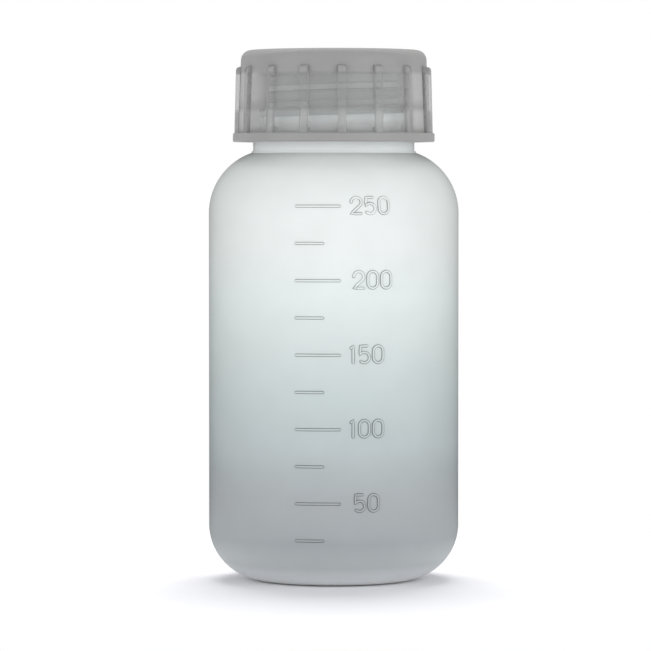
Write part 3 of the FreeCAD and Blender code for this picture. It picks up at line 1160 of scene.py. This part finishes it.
@dataclass
class ScrewCap:
    """The screw cap: drafted shell, flange, grip ribs and inner thread.

    Sizes are in millimetres and drafts in degrees.
    """

    bottle: Bottle
    gap: float = 2.25  # between the step under the neck and the cap's lower edge
    wall: float = 1.3
    top_thickness: float = 1.8
    draft: float = 2.2  # of the skirt
    edge_round: float = 2.5
    flange_height: float = 2.2
    flange_reach: float = 1.3
    flange_chamfer: float = 0.25
    rib_count: int = 16
    rib_offset: float = 4.7  # degrees from the front to the first rib
    rib_width: float = 2.1
    rib_reach: float = 0.95  # past the skirt, above the flange
    rib_draft: float = 1.45
    rib_top_gap: float = 4.1  # from the cap's top down to the ribs' upper ends
    rib_top_round: float = 0.9
    rib_edge_chamfer: float = 0.35
    disc_thickness: float = 1.0
    clearance: float = 0.35  # between either thread's crest and the other wall
    thread_turns: float = 2.25
    thread_root_width: float = 1.9
    thread_crest_width: float = 1.0
    strips: int = 208  # round the skirt
    finish: InjectionMouldedPolypropylene = InjectionMouldedPolypropylene()
    thread_finish: InjectionMouldedPolypropylene = InjectionMouldedPolypropylene(
        name="natural_polypropylene_at_cap_thread",
        tints_with_painted_light_and_shade=((110.0, "#B3B1B0"), (125.0, "#B3B1B0")),
        covers=((110.0, 0.12), (125.0, 0.12)),
        slant_cover=0.2,
    )
    # The ribs' tints by level are darker than the skirt's, and like them painted lighter over the thread:
    # painted light.
    rib_finish: InjectionMouldedPolypropylene = InjectionMouldedPolypropylene(
        name="natural_polypropylene_at_grip_ribs",
        tints_with_painted_light_and_shade=((113.0, "#9B9998"), (116.0, "#A9A7A6"), (124.1, "#A9A7A6"), (124.9, "#9D9B9A")),
        covers=((109.6, 0.85), (110.4, 0.6), (114.9, 0.6), (116.0, 0.4), (124.1, 0.4), (124.9, 0.85)),
        slant_cover=0.6,
    )

    @property
    def slope(self) -> float:
        """How much the skirt widens for each millimetre down."""
        return math.tan(math.radians(self.draft))

    @property
    def ceiling(self) -> float:
        """Level of the cap's inner top, on the sealing disc."""
        return self.bottle.mouth + self.disc_thickness

    @property
    def top(self) -> float:
        """Level of the cap's top."""
        return self.ceiling + self.top_thickness

    @property
    def foot(self) -> float:
        """Level of the cap's lower edge."""
        return self.bottle.neck_foot + self.gap

    @property
    def flange_top(self) -> float:
        """Level of the flange's upper face."""
        return self.foot + self.flange_height

    @property
    def bore_top(self) -> float:
        """Radius of the bore at the ceiling."""
        return self.bottle.neck_radius + self.bottle.thread_depth + self.clearance

    def outer_radius(self, level: float) -> float:
        """Radius of the skirt's outside at a level."""
        return self.bore_top + self.wall + (self.top - level) * self.slope

    def bore_radius(self, level: float) -> float:
        """Radius of the bore at a level."""
        return self.bore_top + (self.ceiling - level) * self.slope

    def model_shell(self) -> bpy.types.Object:
        """Turn the cap's shell, with its rounded top edge and its flange.

        Returns:
            The shell.
        """
        core_top = self.outer_radius(self.top)
        core_foot = self.outer_radius(self.flange_top)
        flange = core_foot + self.flange_reach
        bend = 90.0 - self.draft
        centre_r = core_top - self.edge_round * math.tan(math.radians(bend / 2.0))
        centre_z = self.top - self.edge_round
        shell = Outline("cap_shell", 0.0, self.top)
        shell.line_to(centre_r, self.top, 3)
        shell.arc_about(centre_r, centre_z, -bend, 12)
        shell.line_to(core_foot, self.flange_top, 6)
        shell.line_to(flange - self.flange_chamfer, self.flange_top)
        shell.line_to(flange, self.flange_top - self.flange_chamfer)
        shell.line_to(flange, self.foot + self.flange_chamfer)
        shell.line_to(flange - self.flange_chamfer, self.foot)
        shell.line_to(self.bore_radius(self.foot), self.foot)
        shell.line_to(self.bore_top, self.ceiling, 6)
        shell.line_to(0.0, self.ceiling, 3)
        return shell.turned(self.strips)

    def model_rib(self) -> bpy.types.Object:
        """Shape one grip rib on the +X side, from inside the flange to its rounded top.

        Returns:
            The rib.
        """
        rib_foot = self.flange_top - self.flange_height / 2.0
        rib_top = self.top - self.rib_top_gap
        inner = self.bore_top + self.wall / 2.0
        outer = self.outer_radius(self.flange_top) + self.rib_reach
        lean = (rib_top - rib_foot) * math.tan(math.radians(self.rib_draft))
        middle_r, middle_z = (inner + outer) / 2.0 * MM, (rib_foot + rib_top) / 2.0 * MM

        def outer_top(start: Vector, end: Vector) -> bool:
            """Pick the top's edge that faces away from the cap."""
            return min(start.z, end.z) > middle_z and min(start.x, end.x) > middle_r

        def outer_side(start: Vector, end: Vector) -> bool:
            """Pick the edges that run up along the rib's outer face."""
            level_with = abs(start.y - end.y) < SAME
            return min(start.x, end.x) > middle_r and level_with and abs(start.z - end.z) > SAME

        start_fresh()
        bpy.ops.mesh.primitive_cube_add(
            size=1.0,
            location=(middle_r, 0.0, middle_z),
            scale=((outer - inner) * MM, self.rib_width * MM, (rib_top - rib_foot) * MM),
        )
        rib = bpy.context.object
        rib.name = "grip_rib"
        settle(rib)
        with editing(rib) as mesh:
            bpy.ops.object.mode_set(mode="OBJECT")
            for vertex in mesh.vertices:
                vertex.select = vertex.co.x > middle_r and vertex.co.z > middle_z
            bpy.ops.object.mode_set(mode="EDIT")
            bpy.ops.transform.translate(value=(-lean * MM, 0.0, 0.0))
        bevel_edges(rib, outer_top, self.rib_top_round, 5)
        bevel_edges(rib, outer_side, self.rib_edge_chamfer, 2)
        return rib

    def model_ribs(self) -> bpy.types.Object:
        """Copy the rib round the cap.

        Returns:
            All ribs as one object of separate closed forms.
        """
        rib = self.model_rib()
        ribs = []
        for number in range(self.rib_count):
            copy = copy_of(rib)
            turn = self.rib_offset + number * 360.0 / self.rib_count
            copy.rotation_euler.z = FRONT + math.radians(turn)
            settle(copy)
            ribs.append(copy)
        bpy.data.objects.remove(rib)
        return join(ribs)

    def model_thread(self) -> bpy.types.Object:
        """Wind the inner thread, half a pitch below the neck's.

        Returns:
            The ridge.
        """
        neck = self.bottle
        start = neck.thread_start - neck.thread_pitch / 2.0
        ridge = HelicalRidge(
            wall_radius=self.bore_radius(start),
            crest_radius=neck.neck_radius + self.clearance,
            root_width=self.thread_root_width,
            crest_width=self.thread_crest_width,
            start_level=start,
            pitch=neck.thread_pitch,
            turns=self.thread_turns,
            narrowing=self.slope,
        )
        return ridge.model("cap_thread")

    def build(self) -> bpy.types.Object:
        """Model the cap and dress it.

        Returns:
            The cap's one piece.
        """
        shell = self.model_shell()
        thread = self.model_thread()
        ribs = self.model_ribs()
        dress(shell, self.finish.make())
        dress(ribs, self.rib_finish.make())
        dress(thread, self.thread_finish.make())
        fuse(shell, ribs)
        shell = join([shell, thread])
        smooth(shell)
        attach(shell, "cap_body")
        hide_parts("screw_cap")
        return shell


@dataclass
class SealingDisc:
    """The disc under the cap's top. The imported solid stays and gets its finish."""

    finish: FoamedPolyethylene = FoamedPolyethylene()

    def build(self) -> bpy.types.Object:
        """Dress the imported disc.

        Returns:
            The disc.
        """
        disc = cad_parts["sealing_disc"]
        material = self.finish.make()
        for slot in disc.material_slots:
            slot.material = material
        return disc


# Studio


@dataclass
class Studio:
    """Pale floor, plain soft light and the camera at the photograph's place."""

    camera_distance: float = 1000.0
    view_width: float = 160.47  # mm seen across at the bottle's axis
    eye_level: float = 100.9
    axis_offset: float = 2.02  # the bottle stands this far right of the middle of the view
    pitch: float = 2.195  # degrees that the view looks down
    sensor: float = 36.0
    ambient: float = 0.4893
    ambient_colour: str = "#FDFBFF"
    aim_level: float = 65.0  # half way up the bottle, where the lamps point
    side_place: tuple[float, float, float] = (1180.0, -920.0, 200.0)  # the right lamp's; the left mirrors it
    side_size: float = 1500.0
    side_colour: str = "#F7FFFD"
    left_power: float = 15.0
    right_power: float = 17.2
    back_place: tuple[float, float, float] = (0.0, 480.0, 1100.0)
    back_size: float = 800.0
    back_power: float = 10.5
    floor_colour: str = "#F8F7F9"
    floor_bounce: str = "#EBEAEC"  # what the floor throws back at the bottle
    floor_radius: float = 1500.0
    lit_radius: float = 90.0
    white_radius: float = 150.0

    def aim_camera(self) -> None:
        """Add the camera, square to the front of the bottle and at the height of its shoulder."""
        lens = self.sensor * self.camera_distance / self.view_width
        bpy.ops.object.camera_add(
            location=(-self.axis_offset * MM, -self.camera_distance * MM, self.eye_level * MM),
            rotation=(math.radians(90.0 - self.pitch), 0.0, 0.0),
        )
        camera = bpy.context.object
        camera.name = "photo_camera"
        camera.data.sensor_width = self.sensor
        camera.data.lens = lens
        camera.data.clip_start = 0.01
        bpy.context.scene.camera = camera

    def hang_light(
        self, name: str, place: tuple[float, float, float], size: float, power: float, colour: str
    ) -> bpy.types.Object:
        """Hang one square soft box that faces the bottle.

        Args:
            name: the lamp's name.
            place: where it hangs, in millimetres.
            size: its side in millimetres.
            power: its power in watts.
            colour: the tint of its light.

        Returns:
            The lamp.
        """
        bpy.ops.object.light_add(type="AREA", location=[edge * MM for edge in place])
        lamp = bpy.context.object
        lamp.name = name
        lamp.data.size = size * MM
        lamp.data.energy = power
        lamp.data.color = linear(colour)[:3]
        aim = Vector((0.0, 0.0, self.aim_level * MM)) - lamp.location
        lamp.rotation_euler = aim.to_track_quat("-Z", "Y").to_euler()
        return lamp

    def light_world(self) -> None:
        """Even ambient light, and plain white wherever the background itself is seen."""
        world = bpy.data.worlds.new("plain_white_surround")
        bpy.context.scene.world = world
        world.use_nodes = True
        tree = world.node_tree
        tree.nodes.clear()
        seen = self.seen_directly(tree)
        ambient = add_node(
            tree, "ShaderNodeBackground", {"Color": linear(self.ambient_colour), "Strength": self.ambient}
        )
        white = add_node(tree, "ShaderNodeBackground", {"Color": linear("#FFFFFF"), "Strength": 1.0})
        mixed = add_node(tree, "ShaderNodeMixShader", {0: seen, 1: ambient.outputs[0], 2: white.outputs[0]})
        add_node(tree, "ShaderNodeOutputWorld", {"Surface": mixed.outputs[0]})

    @staticmethod
    def seen_directly(tree: bpy.types.NodeTree) -> bpy.types.NodeSocket:
        """Give 1 for rays that show the background itself, also through clear material.

        Soft gloss on the plastic mirrors the even ambient light instead, as nothing on the
        bottle is metal or glass.

        Args:
            tree: the tree that gets the nodes.

        Returns:
            The socket that holds the answer.
        """
        path = add_node(tree, "ShaderNodeLightPath", {})
        seen = add_node(
            tree,
            "ShaderNodeMath",
            {0: path.outputs["Is Camera Ray"], 1: path.outputs["Is Transmission Ray"]},
            operation="MAXIMUM",
        )
        return seen.outputs[0]

    def lay_floor(self) -> None:
        """Lay the pale floor, which keeps the bottle's shadow and is white further out."""
        start_fresh()
        bpy.ops.mesh.primitive_circle_add(vertices=96, radius=self.floor_radius * MM, fill_type="NGON")
        floor = bpy.context.object
        floor.name = "studio_floor"
        material, tree = fresh_material("pale_studio_board")
        place = add_node(tree, "ShaderNodeTexCoord", {}).outputs["Object"]
        reach = add_node(tree, "ShaderNodeVectorMath", {0: place}, operation="LENGTH")
        far = add_node(
            tree,
            "ShaderNodeMapRange",
            {
                "Value": reach.outputs["Value"],
                "From Min": self.lit_radius * MM,
                "From Max": self.white_radius * MM,
            },
            interpolation_type="SMOOTHSTEP",
        )
        white_share = add_node(
            tree, "ShaderNodeMath", {0: far.outputs[0], 1: self.seen_directly(tree)}, operation="MULTIPLY"
        )
        path = add_node(tree, "ShaderNodeLightPath", {})
        tint = add_node(
            tree,
            "ShaderNodeMix",
            {
                "Factor": path.outputs["Is Diffuse Ray"],
                "A": linear(self.floor_colour),
                "B": linear(self.floor_bounce),
            },
            data_type="RGBA",
        )
        lit = add_node(tree, "ShaderNodeBsdfDiffuse", {"Color": tint.outputs["Result"]})
        white = add_node(tree, "ShaderNodeEmission", {"Color": linear("#FFFFFF"), "Strength": 1.0})
        surface = add_node(
            tree, "ShaderNodeMixShader", {0: white_share.outputs[0], 1: lit.outputs[0], 2: white.outputs[0]}
        )
        add_node(tree, "ShaderNodeOutputMaterial", {"Surface": surface.outputs[0]})
        floor.data.materials.append(material)

    def build(self) -> None:
        """Set up the view, the light and the floor."""
        scene = bpy.context.scene
        scene.view_settings.view_transform = "Standard"
        self.aim_camera()
        self.light_world()
        self.lay_floor()
        across, back, up = self.side_place
        sides = (("left_soft_box", -across, self.left_power), ("right_soft_box", across, self.right_power))
        for name, place, power in sides:
            self.hang_light(name, (place, back, up), self.side_size, power, self.side_colour)
        rear = self.hang_light("back_soft_box", self.back_place, self.back_size, self.back_power, "#FFFFFF")
        rear.visible_glossy = False  # it lights the shoulder and the cap's top and isn't mirrored in them


def report(piece: bpy.types.Object) -> None:
    """Log a finished piece's number of faces and its size.

    Args:
        piece: the object.
    """
    sizes = " x ".join(f"{edge / MM:.2f}" for edge in piece.dimensions)
    log.info("%s: %d faces, %s mm", piece.name, len(piece.data.polygons), sizes)


def main() -> None:
    """Build every sub-assembly in order and report each piece."""
    Studio().build()
    bottle = Bottle()
    for piece in (bottle.build(VolumeScale()), ScrewCap(bottle).build(), SealingDisc().build()):
        report(piece)


if __name__ == "__main__":
    main()
